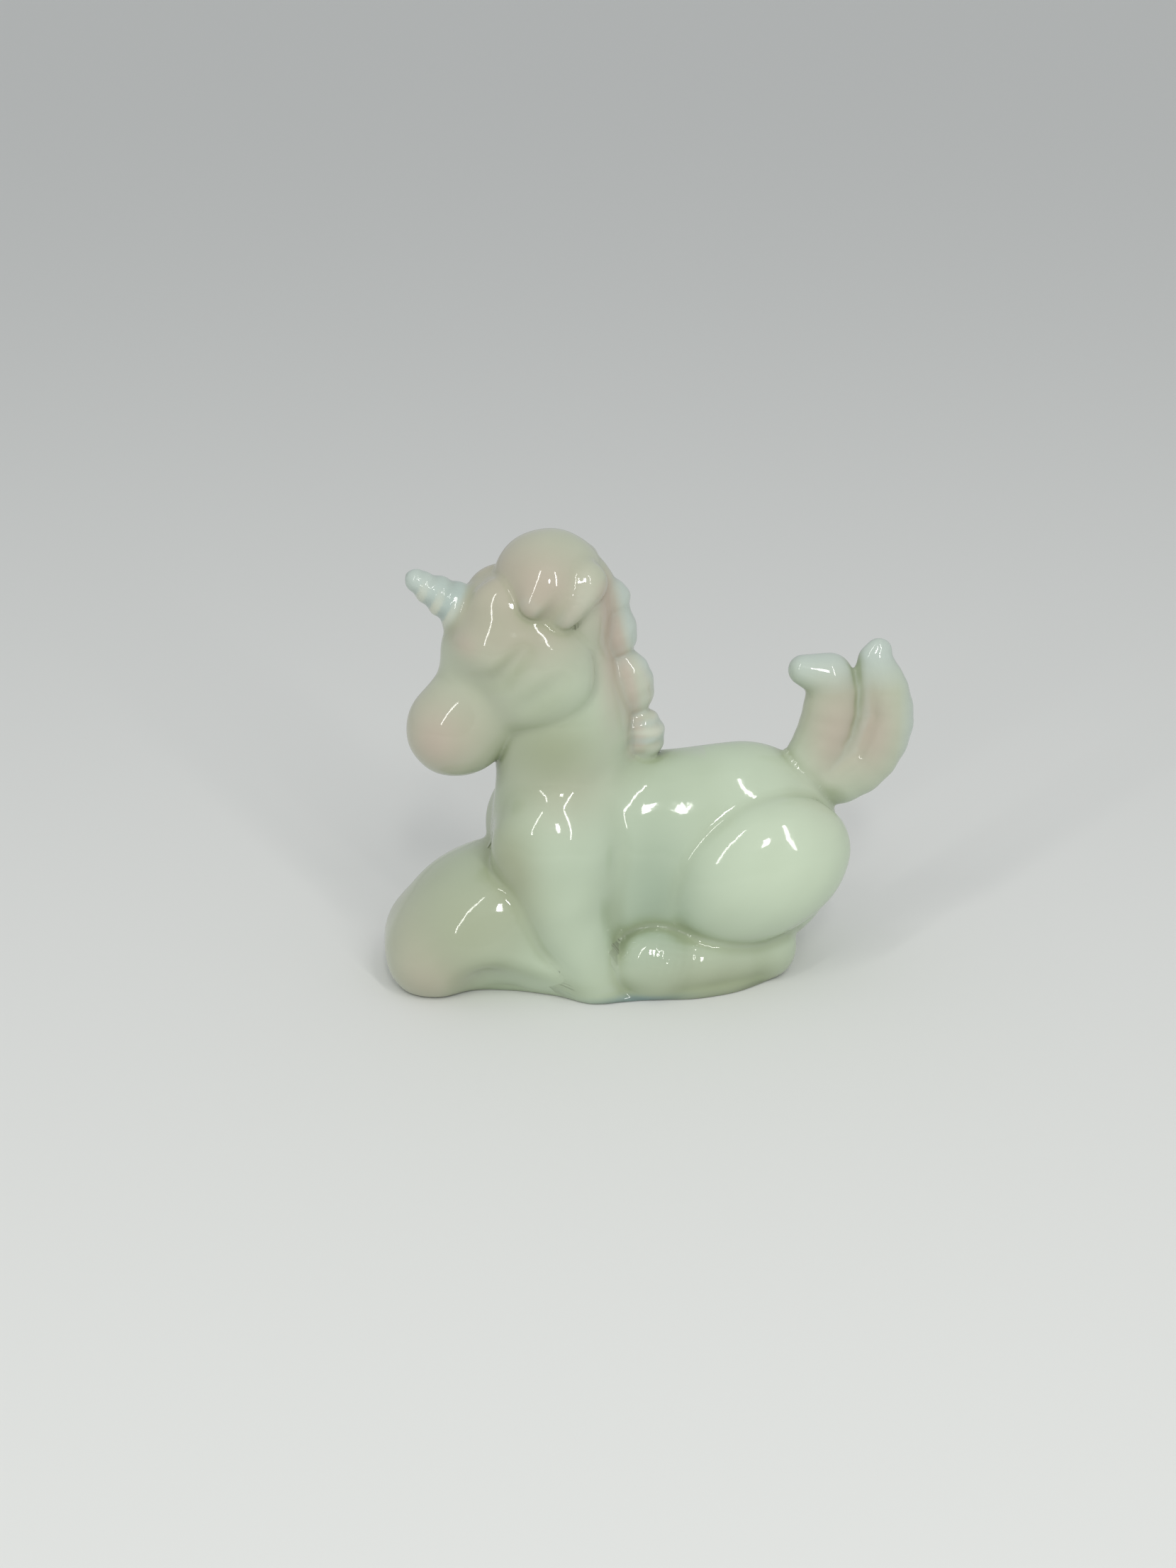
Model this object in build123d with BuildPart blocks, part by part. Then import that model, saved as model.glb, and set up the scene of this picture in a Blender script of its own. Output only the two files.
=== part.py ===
"""Reclining unicorn foal in pressed glass, in millimetres.

The figure faces -X and its left side faces -Y. It lies on its flat underside at Z = 0, and the origin
is the middle of its outline there. Each form of the pressing is a solid of its own. A smaller
form is cut where it grows out of a larger one, so that the two meet face to face.
"""

import os
from math import cos, radians, sin

from build123d import *

# Trunk: the barrel of the body, from the chest to the rump
trunk_length = 45.0
trunk_width = 23.4
trunk_height = 33.6
trunk_rear_x = 28.4

# Neck, rising from the chest
neck_length = 44.0
neck_depth = 20.8
neck_width = 18.6

# Head, sloping down and forward from the poll
head_length = 31.8
head_depth = 20.8
head_width = 17.6
head_slope = 49.5

# Cheek and closed eyelid, one of each on both sides of the head
cheek_length = 15.2
cheek_height = 15.8
cheek_thickness = 9.4
eyelid_length = 9.0
eyelid_height = 7.8
eyelid_thickness = 6.6

# Horn, twisted, on the forehead
horn_length = 10.2
horn_root_diameter = 9.2
horn_tip_diameter = 3.6
horn_rise = 34.0
horn_twist = 270.0

# Forelock over the poll, with a pointed lock down each side
forelock_length = 16.0
forelock_width = 17.6
forelock_height = 15.2
forelock_point_length = 10.4
forelock_point_height = 12.0
forelock_point_thickness = 5.4

# Ears, laid back and down behind the forelock
ear_length = 7.8
ear_depth = 5.4
ear_thickness = 6.4
ear_lean = 14.0

# Mane: a row of locks down the crest of the neck
mane_lock_diameter = 7.2
mane_lock_length = 9.6
mane_lean = 12.0

# Tail, thrown up over the rump in two locks and a curl
tail_height = 22.2
tail_width = 17.6
tail_thickness = 7.6
tail_lock_depth = 11.4

# Shoulder and upper arm
shoulder_height = 30.0
shoulder_length = 18.4
shoulder_reach = 13.6

# Foreleg, bent with its knee raised in front of the chest
knee_length = 26.6
knee_height = 17.8
knee_thickness = 18.4
knee_reach = 12.4
knee_middle_z = 9.2
knee_lean = 30.0
fore_hoof_length = 11.6
fore_hoof_height = 10.4
fore_hoof_thickness = 12.6
fore_hoof_reach = 10.6
fore_hoof_front_x = -38.36

# Haunch, hind leg and hind hoof
haunch_length = 27.4
haunch_height = 20.4
haunch_thickness = 19.2
haunch_reach = 15.2
haunch_lean = 24.0
hind_leg_length = 28.0
hind_leg_height = 9.6
hind_leg_thickness = 9.2
hind_leg_reach = 13.2
hind_leg_turn = 12.0
hoof_length = 11.2
hoof_height = 10.4
hoof_thickness = 8.8
hoof_reach = 14.6


# Outlines and places, as shares of the sizes above

# Trunk sections: along the length, width, lowest and highest point over the height
trunk_section_shares = [
    (0.00, 0.40, 0.24, 0.66),
    (0.04, 0.62, 0.14, 0.76),
    (0.14, 0.86, 0.04, 0.87),
    (0.32, 0.97, -0.04, 0.95),
    (0.50, 1.00, -0.06, 0.99),
    (0.68, 1.00, -0.02, 1.00),
    (0.83, 0.90, 0.06, 0.94),
    (0.93, 0.68, 0.18, 0.82),
    (0.98, 0.40, 0.33, 0.68),
    (1.00, 0.16, 0.43, 0.57),
]

# Neck sections: up the length, middle along the depth, depth, width
neck_section_shares = [
    (0.00, -0.050, 0.92, 1.00),
    (0.15, -0.030, 0.98, 1.00),
    (0.32, 0.010, 1.00, 0.96),
    (0.50, -0.005, 0.93, 0.88),
    (0.70, 0.015, 0.75, 0.78),
    (0.88, 0.000, 0.58, 0.62),
    (1.00, 0.000, 0.50, 0.54),
]
neck_place_share = 0.09
neck_foot_share = 0.435

# Head sections: down the length, middle across the depth, depth, width
head_section_shares = [
    (0.00, 0.02, 0.42, 0.44),
    (0.06, 0.03, 0.74, 0.74),
    (0.18, 0.03, 0.96, 1.00),
    (0.34, 0.02, 0.98, 1.00),
    (0.48, 0.05, 0.82, 0.84),
    (0.60, 0.06, 0.62, 0.68),
    (0.74, 0.04, 0.66, 0.72),
    (0.86, -0.01, 0.62, 0.68),
    (0.95, -0.05, 0.45, 0.50),
    (1.00, -0.07, 0.18, 0.20),
]
head_place_share = 0.05
head_poll_share = 0.98

# Places on the head: down its length, across its depth, out to the side over the half width
cheek_place_shares = (0.365, -0.205, 0.58)
eyelid_place_shares = (0.349, 0.245, 0.62)
horn_place_shares = (0.357, 0.410)
forelock_place_shares = (0.028, 0.139)
forelock_point_place_shares = (0.075, 0.215, 0.76)
ear_place_shares = (-0.034, 0.006, 0.78)

# Mane locks: up the neck, back from its crest, length, diameter
mane_lock_shares = [
    (1.000, 0.045, 0.70, 0.86),
    (0.935, 0.062, 0.74, 0.86),
    (0.855, 0.052, 0.81, 0.94),
    (0.689, 0.092, 1.06, 1.11),
    (0.505, 0.090, 0.91, 0.97),
]

# Tail forms: back along the width, up the height, lean, depth, thickness, length
tail_front_lock_shares = (0.27, 0.44, 12.0, 0.76, 0.94, 1.04)
tail_rear_lock_shares = [
    (0.59, 0.31, 34.0, 1.00, 0.96, 0.86),
    (0.645, 0.64, -8.0, 0.80, 0.84, 0.76),
]
tail_curl_shares = (0.20, 0.785, 80.0, 0.56, 0.84, 0.42)
tail_root_share = 0.832
tail_foot_share = 0.80

# Shoulder sections: down the height, middle along the length, length, reach, thickness over the reach
shoulder_section_shares = [
    (0.02, 0.10, 0.48, 0.66, 0.50),
    (0.10, 0.06, 0.80, 0.82, 0.80),
    (0.22, -0.02, 0.98, 0.95, 0.96),
    (0.36, -0.04, 0.97, 1.00, 1.00),
    (0.50, 0.00, 0.86, 1.00, 1.00),
    (0.66, 0.06, 0.74, 0.99, 0.94),
    (0.82, 0.14, 0.60, 0.98, 0.78),
    (1.05, 0.26, 0.44, 0.94, 0.58),
]
shoulder_place_share = 0.07

# Foreleg: the middle of the knee, back from the front of the hoof
knee_place_share = 0.51

# Haunch and hind leg on the trunk
haunch_place_shares = (0.715, 0.530)
hind_leg_place_share = 0.53
hind_leg_middle_share = 0.46
hoof_place_share = 0.36
hoof_middle_share = 0.44


def ellipsoid(length, thickness, height, seam_turn=90):
    """A unit ball drawn out to the three sizes along X, Y and Z, its seam turned to the side that is cut."""
    with BuildPart() as ball:
        Sphere(1, rotation=(0, 0, seam_turn))
        scale(by=(length / 2, thickness / 2, height / 2))
    return ball.part


def spheroid(diameter, length):
    """A half ellipse turned about Z."""
    with BuildPart() as ball:
        with BuildSketch(Plane.XZ):
            Ellipse(diameter / 2, length / 2)
            split(bisect_by=Plane.YZ, keep=Keep.TOP)
        revolve(axis=Axis.Z)
    return ball.part


def along_trunk(share):
    """The X of a place along the trunk, from its front at 0 to the rump at 1."""
    return trunk_rear_x - trunk_length * (1 - share)


# Places of the head: the poll, the way down the head, and the way across it towards the forehead
neck_x = along_trunk(neck_place_share)
neck_foot_z = trunk_height * neck_foot_share
poll_x = neck_x + neck_depth * head_place_share
poll_z = neck_foot_z + neck_length * head_poll_share
down_x, down_z = -cos(radians(head_slope)), -sin(radians(head_slope))
across_x, across_z = -sin(radians(head_slope)), cos(radians(head_slope))


def on_head(down_share, across_share):
    """The X and Z of a place on the head's middle plane."""
    down = head_length * down_share
    across = head_depth * across_share
    return poll_x + down * down_x + across * across_x, poll_z + down * down_z + across * across_z


# Trunk
with BuildPart() as trunk:
    for along, width, low, high in trunk_section_shares:
        with BuildSketch(Plane.YZ.offset(along_trunk(along))):
            with Locations((0, trunk_height * (low + high) / 2)):
                Ellipse(trunk_width * width / 2, trunk_height * (high - low) / 2)
    loft()

# Neck
with BuildPart() as neck:
    for up, middle, depth, width in neck_section_shares:
        with BuildSketch(Plane.XY.offset(neck_foot_z + neck_length * up)):
            with Locations((neck_x + neck_depth * middle, 0)):
                Ellipse(neck_depth * depth / 2, neck_width * width / 2)
    loft()

# Head
with BuildPart() as head:
    for down, middle, depth, width in head_section_shares:
        x, z = on_head(down, middle)
        with BuildSketch(Plane((x, 0, z), x_dir=(0, 1, 0), z_dir=(down_x, 0, down_z))):
            Ellipse(head_width * width / 2, head_depth * depth / 2)
    loft()

# Left cheek
with BuildPart() as left_cheek:
    x, z = on_head(*cheek_place_shares[:2])
    with Locations((x, -head_width / 2 * cheek_place_shares[2], z)):
        add(ellipsoid(cheek_length, cheek_thickness, cheek_height))

# Left eyelid
with BuildPart() as left_eyelid:
    x, z = on_head(*eyelid_place_shares[:2])
    with Locations((x, -head_width / 2 * eyelid_place_shares[2], z)):
        add(ellipsoid(eyelid_length, eyelid_thickness, eyelid_height))

# Horn: a rounded square section that turns as it rises
horn_out = Vector(-cos(radians(horn_rise)), 0, sin(radians(horn_rise)))
horn_side_count = 4
horn_corner_share = 0.24
horn_steps = 10
with BuildPart() as horn:
    x, z = on_head(*horn_place_shares)
    for step in range(horn_steps + 1):
        share = step / horn_steps
        diameter = horn_root_diameter + (horn_tip_diameter - horn_root_diameter) * share
        spot = Vector(x, 0, z) + horn_out * horn_length * share
        with BuildSketch(Plane(spot, x_dir=(0, 1, 0), z_dir=horn_out)):
            RegularPolygon(diameter / 2, horn_side_count, rotation=horn_twist * share)
            fillet(vertices(), diameter * horn_corner_share)
    loft()

# Forelock
with BuildPart() as forelock:
    x, z = on_head(*forelock_place_shares)
    with Locations((x, 0, z)):
        add(ellipsoid(forelock_length, forelock_width, forelock_height, seam_turn=180))
    x, z = on_head(*forelock_point_place_shares[:2])
    y = head_width / 2 * forelock_point_place_shares[2]
    with Locations((x, -y, z), (x, y, z)):
        add(ellipsoid(forelock_point_length, forelock_point_thickness, forelock_point_height))

# Left ear
with BuildPart() as left_ear:
    x, z = on_head(*ear_place_shares[:2])
    with Locations(Location((x, -head_width / 2 * ear_place_shares[2], z), (0, ear_lean, 0))):
        add(ellipsoid(ear_depth, ear_thickness, ear_length))


def crest_x(up):
    """The X of the neck's crest at a share of its length, between the two sections around it."""
    for (low, *foot_shares), (high, *top_shares) in zip(neck_section_shares, neck_section_shares[1:]):
        if up <= high:
            break
    mix = (up - low) / (high - low)
    middle = foot_shares[0] + (top_shares[0] - foot_shares[0]) * mix
    depth = foot_shares[1] + (top_shares[1] - foot_shares[1]) * mix
    return neck_x + neck_depth * (middle + depth / 2)


# Mane, one form for each lock
mane_locks = []
for up, back, length, diameter in mane_lock_shares:
    with BuildPart() as mane_lock:
        spot = (crest_x(up) + neck_depth * back, 0, neck_foot_z + neck_length * up)
        with Locations(Location(spot, (0, -mane_lean, 0))):
            add(spheroid(mane_lock_diameter * diameter, mane_lock_length * length))
    mane_locks.append(mane_lock.part)

# Tail
tail_x = along_trunk(tail_root_share)
tail_z = trunk_height * tail_foot_share


def tail_form(back, up, lean, depth, thickness, length):
    """A lock of the tail, or the curl at the top of one."""
    spot = (tail_x + tail_width * back, 0, tail_z + tail_height * up)
    sizes = (tail_lock_depth * depth, tail_thickness * thickness, tail_height * length)
    with BuildPart() as lock:
        with Locations(Location(spot, (0, lean, 0))):
            add(ellipsoid(*sizes, seam_turn=180))
    return lock.part


with BuildPart() as tail_front_lock:
    add(tail_form(*tail_front_lock_shares))

with BuildPart() as tail_rear_lock:
    for lock_shares in tail_rear_lock_shares:
        add(tail_form(*lock_shares))

with BuildPart() as tail_curl:
    add(tail_form(*tail_curl_shares))

# Left shoulder
with BuildPart() as left_shoulder:
    for down, middle, length, reach, thickness in shoulder_section_shares:
        x = along_trunk(shoulder_place_share) + shoulder_length * middle
        with BuildSketch(Plane.XY.offset(shoulder_height * (1 - down))):
            with Locations((x, shoulder_reach * (thickness / 2 - reach))):
                Ellipse(shoulder_length * length / 2, shoulder_reach * thickness / 2)
    loft()

# Left foreleg: the raised knee, and the hoof in front of it
with BuildPart() as left_foreleg:
    knee_x = fore_hoof_front_x + knee_length * knee_place_share
    with Locations(Location((knee_x, knee_thickness / 2 - knee_reach, knee_middle_z), (0, -knee_lean, 0))):
        add(ellipsoid(knee_length, knee_thickness, knee_height))
    fore_hoof_x = fore_hoof_front_x + fore_hoof_length / 2
    fore_hoof_y = fore_hoof_thickness / 2 - fore_hoof_reach
    with Locations((fore_hoof_x, fore_hoof_y, fore_hoof_height * hoof_middle_share)):
        add(ellipsoid(fore_hoof_length, fore_hoof_thickness, fore_hoof_height))
    split(bisect_by=Plane.XZ, keep=Keep.TOP)

# Left haunch
with BuildPart() as left_haunch:
    along, up = haunch_place_shares
    spot = (along_trunk(along), haunch_thickness / 2 - haunch_reach, trunk_height * up)
    with Locations(Location(spot, (0, -haunch_lean, 0))):
        add(ellipsoid(haunch_length, haunch_thickness, haunch_height))
    split(bisect_by=Plane.XZ, keep=Keep.TOP)

# Left hind leg
with BuildPart() as left_hind_leg:
    x = along_trunk(hind_leg_place_share)
    y = hind_leg_thickness / 2 - hind_leg_reach
    with Locations(Location((x, y, hind_leg_height * hind_leg_middle_share), (0, 0, hind_leg_turn))):
        add(ellipsoid(hind_leg_length, hind_leg_thickness, hind_leg_height))

# Left hind hoof
with BuildPart() as left_hind_hoof:
    y = hoof_thickness / 2 - hoof_reach
    with Locations((along_trunk(hoof_place_share), y, hoof_height * hoof_middle_share)):
        add(ellipsoid(hoof_length, hoof_thickness, hoof_height))


# Every form, the ones that keep their whole shape first. A left form stands for its mirror image too. They
# reach below the ground, where all are cut flat at the end.
forms = {
    "trunk": trunk.part,
    "neck": neck.part,
    "head": head.part,
    "left_haunch": left_haunch.part,
    "left_shoulder": left_shoulder.part,
    "left_cheek": left_cheek.part,
    "left_eyelid": left_eyelid.part,
    "left_foreleg": left_foreleg.part,
    "left_hind_leg": left_hind_leg.part,
    "left_hind_hoof": left_hind_hoof.part,
    "forelock": forelock.part,
    "left_ear": left_ear.part,
    **{f"mane_lock_{number}": lock for number, lock in enumerate(mane_locks, start=1)},
    "tail_rear_lock": tail_rear_lock.part,
    "tail_front_lock": tail_front_lock.part,
    "tail_curl": tail_curl.part,
    "horn": horn.part,
}


def boxes_meet(first, second):
    """Whether the boxes round two forms overlap."""
    a, b = first.bounding_box(), second.bounding_box()
    return all(low < high for low, high in zip((*a.min, *b.min), (*b.max, *a.max)))


def write(name, solid):
    """Labels a finished piece and writes it."""
    solid.label = name
    export_step(solid, f"parts/{name}.step")


os.makedirs("parts", exist_ok=True)
larger_forms = []
for name, form in forms.items():
    with BuildPart() as piece:
        add(form)
        for larger in larger_forms:
            if boxes_meet(form, larger):
                add(larger, mode=Mode.SUBTRACT)
        split(bisect_by=Plane.XY, keep=Keep.TOP)
    solid = piece.solids().sort_by(SortBy.VOLUME)[-1]
    write(name, solid)
    larger_forms.append(form)
    if name.startswith("left_"):
        write(name.replace("left_", "right_"), mirror(solid, about=Plane.XZ))
        larger_forms.append(mirror(form, about=Plane.XZ))
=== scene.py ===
"""Reclining unicorn foal in pressed opaque glass: its skin, its finish and a small studio.

The whole figure is one implicit surface, in millimetres: closed forms joined by smooth unions, so that the
creases between them are filleted as in a fire-polished pressing. The surface is meshed once and shared out
among the named pieces along its valleys. X runs from the muzzle to the tail, the left side is towards -Y,
and the floor is at Z = 0. Forms of the left side are mirrored to make the right ones.
"""

import collections
import functools
from math import cos, radians, sin

import bpy
import numpy as np
from mathutils import Matrix, Vector


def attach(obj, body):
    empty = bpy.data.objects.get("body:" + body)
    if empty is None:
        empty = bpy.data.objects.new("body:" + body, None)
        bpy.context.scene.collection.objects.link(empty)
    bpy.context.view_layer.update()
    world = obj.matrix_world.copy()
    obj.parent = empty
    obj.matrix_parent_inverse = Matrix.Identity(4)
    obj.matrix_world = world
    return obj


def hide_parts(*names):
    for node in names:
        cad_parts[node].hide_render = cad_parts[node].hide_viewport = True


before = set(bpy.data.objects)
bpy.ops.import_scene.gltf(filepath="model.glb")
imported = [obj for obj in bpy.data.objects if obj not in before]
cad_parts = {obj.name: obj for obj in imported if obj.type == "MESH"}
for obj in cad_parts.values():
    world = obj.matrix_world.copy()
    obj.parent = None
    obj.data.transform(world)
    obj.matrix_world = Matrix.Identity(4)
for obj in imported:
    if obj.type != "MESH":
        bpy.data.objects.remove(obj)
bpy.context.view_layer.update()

bl_info = {
    "name": "Pressed Glass Foal",
    "version": (1, 0, 0),
    "blender": (4, 5, 0),
    "location": "3D View > Sidebar > Foal",
    "description": "Builds a reclining unicorn foal in pressed glass, piece by piece",
    "category": "Object",
}

MM = 0.001
SINGLE = np.float32
# Added to a divisor that can be 0
LEAST_SLOPE, LEAST_LENGTH = 1e-9, 1e-20


# Distances in millimetres, negative inside a form


def smooth_min(a, b, blend):
    """The lower of a and b, rounded where they cross.

    min(a, b) - h^2 blend / 4, with h = max(1 - |a - b| / blend, 0).
    """
    h = np.maximum(1.0 - np.abs(a - b) / blend, 0.0)
    return np.minimum(a, b) - h * h * blend / 4.0


def smooth_max(a, b, blend):
    """The higher of a and b, rounded where they cross: the smooth minimum of -a and -b, turned over."""
    return -smooth_min(-a, -b, blend)


def ellipsoid(p, centre, half, lean, turn):
    """Near-distance to an ellipsoid, k0 (k0 - 1) / k1 with k0 = |q / half|, k1 = |q / half^2|.

    Its length axis leans up from X by the first angle and turns about Z by the second, in degrees.
    """
    q = p - np.asarray(centre, SINGLE)
    lean, turn = np.radians(lean), np.radians(turn)
    x = q[:, 0] * np.cos(turn) + q[:, 1] * np.sin(turn)
    y = q[:, 1] * np.cos(turn) - q[:, 0] * np.sin(turn)
    along = x * np.cos(lean) + q[:, 2] * np.sin(lean)
    up = q[:, 2] * np.cos(lean) - x * np.sin(lean)
    a, b, c = along / half[0], y / half[1], up / half[2]
    k0 = np.sqrt(a * a + b * b + c * c)
    k1 = np.sqrt((a / half[0]) ** 2 + (b / half[1]) ** 2 + (c / half[2]) ** 2) + LEAST_SLOPE
    return k0 * (k0 - 1.0) / k1


def cone(p, start, end, start_radius, end_radius, flat):
    """Distance to the hull of two balls, thinned across Y by the share flat.

    Past its ends it is the distance to a ball, and between them the distance to the slanted side.
    """
    squeeze = np.array((1.0, 1.0 / flat, 1.0), SINGLE)
    start, end = np.asarray(start, SINGLE) * squeeze, np.asarray(end, SINGLE) * squeeze
    axis, drop = end - start, start_radius - end_radius
    length2 = axis @ axis
    slant2 = length2 - drop * drop
    q = p * squeeze - start
    y = q @ axis
    z = y - length2
    side = q * length2 - y[:, None] * axis
    x2 = (side * side).sum(1)
    y2, z2 = y * y * length2, z * z * length2
    k = np.sign(drop) * drop * drop * x2
    body = (np.sqrt(x2 * slant2 / length2) + y * drop) / length2 - start_radius
    low = np.sqrt(x2 + y2) / length2 - start_radius
    high = np.sqrt(x2 + z2) / length2 - end_radius
    return np.where(np.sign(z) * slant2 * z2 > k, high, np.where(np.sign(y) * slant2 * y2 < k, low, body))


def chain(p, balls, blend, flat):
    """Distance to a row of balls, X, Y, Z and radius each, joined by cones."""
    links = [cone(p, a[:3], b[:3], a[3], b[3], flat) for a, b in zip(balls, balls[1:])]
    return functools.reduce(lambda a, b: smooth_min(a, b, blend), links)


def rounded(points, count):
    """Balls along the smooth curve through the given ones: a Lagrange polynomial in the ball's number."""
    points = np.array(points, float)
    at, knots = np.linspace(0, len(points) - 1, count), np.arange(len(points))
    weights = [np.prod([(at - m) / (k - m) for m in knots if m != k], axis=0) for k in knots]
    return np.stack(weights, 1) @ points


# Kinds of form, with sizes and blends in millimetres and angles in degrees: an ellipsoid, the hull of two
# balls, a row of balls, two forms as one, and a left form with its mirror image as one
Oval = collections.namedtuple("Oval", "centre half lean turn", defaults=(0.0, 0.0))
Taper = collections.namedtuple("Taper", "start end start_radius end_radius flat", defaults=(1.0,))
Row = collections.namedtuple("Row", "balls blend flat", defaults=(1.0,))
Join = collections.namedtuple("Join", "first second blend")
Twin = collections.namedtuple("Twin", "form blend", defaults=(1.0,))
# A left and a right piece, with their blend into the rest and into each other
Pair = collections.namedtuple("Pair", "name form blend pair_blend", defaults=(1.0,))
# A form to cut away, and a lock of the mane
Groove = collections.namedtuple("Groove", "form blend")
Lock = collections.namedtuple("Lock", "x z radius half_length ripple")


def mirror(p):
    """The points on the other side of the plane Y = 0."""
    return p * np.array((1.0, -1.0, 1.0), SINGLE)


def distance(p, form):
    """Distance to a form by the formula of its kind: joins and twins are smooth unions of their parts."""
    if isinstance(form, Join):
        return smooth_min(distance(p, form.first), distance(p, form.second), form.blend)
    if isinstance(form, Twin):
        return smooth_min(distance(p, form.form), distance(mirror(p), form.form), form.blend)
    return {Oval: ellipsoid, Taper: cone, Row: chain}[type(form)](p, *form)


# Body
TRUNK_TOP = Join(
    Oval((13.0, 0.0, 17.4), (15.4, 10.4, 16.6)),
    Oval((-2.0, 0.0, 16.2), (16.6, 10.0, 16.8)),
    blend=6.0,
)
FRONT_WEB = Join(
    Oval((-15.0, 0.0, 0.0), (21.5, 8.8, 4.6)),
    Oval((-4.6, 0.0, 0.0), (17.6, 13.3, 3.5)),
    blend=2.0,
)
REAR_WEB = Join(
    Oval((4.0, 0.0, 0.0), (16.6, 13.4, 3.2)),
    Oval((5.0, 0.0, 0.0), (14.5, 9.8, 9.0)),
    blend=1.0,
)
TRUNK = Join(TRUNK_TOP, Join(FRONT_WEB, REAR_WEB, blend=1.0), blend=1.5)
NECK = Join(
    Row(((-12.2, 0.0, 22.0, 10.3), (-12.7, 0.0, 39.0, 8.9), (-12.0, 0.0, 56.5, 5.0)), blend=4.0, flat=0.86),
    Oval((-10.6, 0.0, 55.6), (4.6, 6.9, 6.8)),
    blend=3.0,
)
NECK_BLEND = 4.0

# Limbs of the left side
SHOULDER = Join(
    Oval((-13.8, -5.4, 20.6), (9.5, 7.8, 10.6)),
    Taper((-13.6, -7.0, 13.5), (-8.8, -9.2, 2.0), 6.5, 4.4),
    blend=3.0,
)
KNEE = Oval((-24.8, -3.4, 8.8), (13.4, 9.2, 8.9), lean=31.0)
FORE_HOOF = Oval((-32.5, -4.4, 4.4), (5.7, 6.2, 5.4))
SHANK = Taper((-26.0, -6.6, 7.4), (-10.0, -9.0, 2.0), 5.4, 3.6)
FORELEG = Join(Join(KNEE, FORE_HOOF, blend=3.0), SHANK, blend=2.5)
HAUNCH = Oval((15.0, -7.6, 17.4), (13.9, 7.6, 10.2), lean=28.0)
HIND_LEG = Join(
    Oval((6.6, -8.6, 4.2), (13.2, 4.6, 4.7), turn=12.0),
    Oval((17.2, -6.0, 4.6), (4.0, 4.2, 4.9)),
    blend=2.0,
)
HIND_HOOF = Oval((-0.3, -10.0, 4.7), (5.6, 4.6, 5.3))
LIMBS = (
    Pair("shoulder", SHOULDER, blend=2.0, pair_blend=3.0),
    Pair("haunch", HAUNCH, blend=1.0, pair_blend=3.0),
    Pair("foreleg", FORELEG, blend=1.0, pair_blend=5.0),
    Pair("hind_leg", HIND_LEG, blend=1.4),
    Pair("hind_hoof", HIND_HOOF, blend=1.0),
)
SHANK_RECESS = Groove(Twin(Taper((-24.2, -12.6, 1.3), (-16.4, -14.4, -0.4), 3.7, 2.8)), blend=4.0)
SHOULDER_CREASE = Groove(
    Twin(Row(((-5.0, -10.7, 30.5, 0.6), (-5.2, -11.6, 22.4, 1.0), (-5.7, -12.1, 11.5, 0.6)), blend=0.5)),
    blend=1.4,
)

# Head
SKULL = Oval((-17.6, 0.0, 51.2), (10.2, 8.8, 9.9), lean=49.5)
BROWS = Twin(Oval((-20.8, -3.6, 56.3), (4.5, 3.4, 4.3)), blend=3.0)
FOREHEAD = Oval((-24.3, 0.0, 49.6), (5.0, 5.6, 5.6))
BRIDGE = Taper((-22.0, 0.0, 47.5), (-27.4, 0.0, 39.2), 6.1, 5.9, flat=0.97)
JAW = Taper((-18.5, 0.0, 44.4), (-25.6, 0.0, 38.8), 6.8, 6.1)
MUZZLE = Oval((-28.2, 0.0, 37.3), (6.0, 5.9, 5.8))
FACE = Join(Join(SKULL, BROWS, blend=2.5), Join(BRIDGE, JAW, blend=2.0), blend=2.0)
HEAD = Join(Join(FACE, FOREHEAD, blend=2.0), MUZZLE, blend=3.2)
HEAD_BLEND = 0.4
CHEEKS = Pair("cheek", Oval((-15.8, -5.3, 46.7), (7.4, 4.5, 7.6)), blend=2.4)
CHEEK_CREASE = Groove(Twin(Taper((-19.2, -10.7, 43.4), (-13.6, -11.2, 47.6), 0.8, 0.8)), blend=2.4)
EYELIDS = Pair("eyelid", Oval((-21.6, -4.1, 51.3), (5.4, 5.0, 4.4)), blend=2.6)
EYE_LINE = (
    (-28.6, -6.6, 46.9, 0.4),
    (-26.5, -8.2, 46.6, 0.7),
    (-22.3, -9.6, 47.9, 0.7),
    (-18.6, -10.2, 52.0, 0.4),
)
EYE_CREASE = Groove(Twin(Row(EYE_LINE, blend=0.5)), blend=2.2)
FORELOCK = Join(
    Oval((-14.2, 0.0, 58.9), (7.9, 8.5, 7.5)),
    Twin(Taper((-15.0, -4.4, 59.6), (-17.0, -7.4, 58.2), 4.4, 1.9)),
    blend=1.6,
)
EARS = Pair("ear", Taper((-9.8, -4.9, 60.2), (-12.9, -7.1, 56.4), 3.2, 1.9), blend=0.9)
EAR_CREASE = Groove(Twin(Row(((-13.5, -10.0, 59.2, 0.3), (-15.0, -9.4, 56.4, 0.8)), blend=0.5)), blend=2.0)

# Horn: its root, the way it points, the way up across it, its length and its radii
HORN_ROOT = np.array((-23.9, 0.0, 54.0), SINGLE)
HORN_WAY = np.array((-0.829, 0.0, 0.559), SINGLE)
HORN_UP = np.array((0.559, 0.0, 0.829), SINGLE)
HORN_LENGTH = 10.3
HORN_ROOT_RADIUS, HORN_TIP_RADIUS = 4.1, 1.65
HORN_TURNS = 4.2
HORN_SWELL = 0.17
HORN_SWELL_LOSS_SHARE = 0.4
HORN_BLEND = 1.8

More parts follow.
